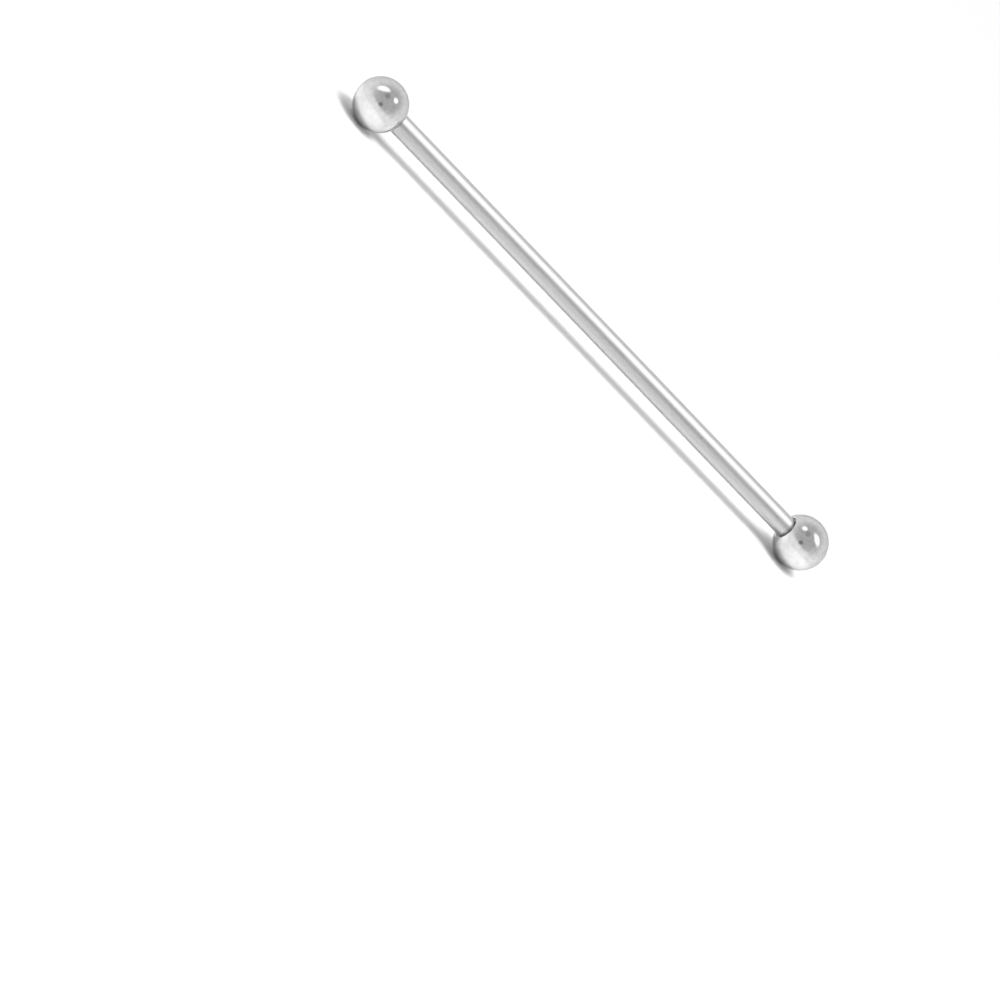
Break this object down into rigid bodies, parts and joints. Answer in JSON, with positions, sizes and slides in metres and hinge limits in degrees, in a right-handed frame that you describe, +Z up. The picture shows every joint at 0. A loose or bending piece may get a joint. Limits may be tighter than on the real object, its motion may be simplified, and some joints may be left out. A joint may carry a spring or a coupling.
{
  "type": "industrial barbell",
  "caption": "Long straight polished steel bar with a screw-on ball closing each end, worn through the cartilage of an ear as body jewellery.",
  "frame": {"origin": "on the surface that the two balls rest on, midway between them", "axes": "+X along the bar from the front ball to the back ball, +Z up"},
  "size_m": [0.0522, 0.004, 0.004],
  "materials": {
    "polished_bar_steel": "drawn steel bar, turned and polished to a soft shine",
    "mirror_ball_steel": "steel ball polished to a mirror"
  },
  "bodies": {
    "bar": {"bar": "polished_bar_steel"},
    "front_ball": {"front_ball": "mirror_ball_steel"},
    "back_ball": {"back_ball": "mirror_ball_steel"}
  },
  "joints": [
    {"name": "front_ball_unscrews", "type": "slide", "parent": "bar", "child": "front_ball", "axis": [-1, 0, 0], "range_m": [0, 0.008]},
    {"name": "back_ball_unscrews", "type": "slide", "parent": "bar", "child": "back_ball", "axis": [1, 0, 0], "range_m": [0, 0.008]}
  ]
}
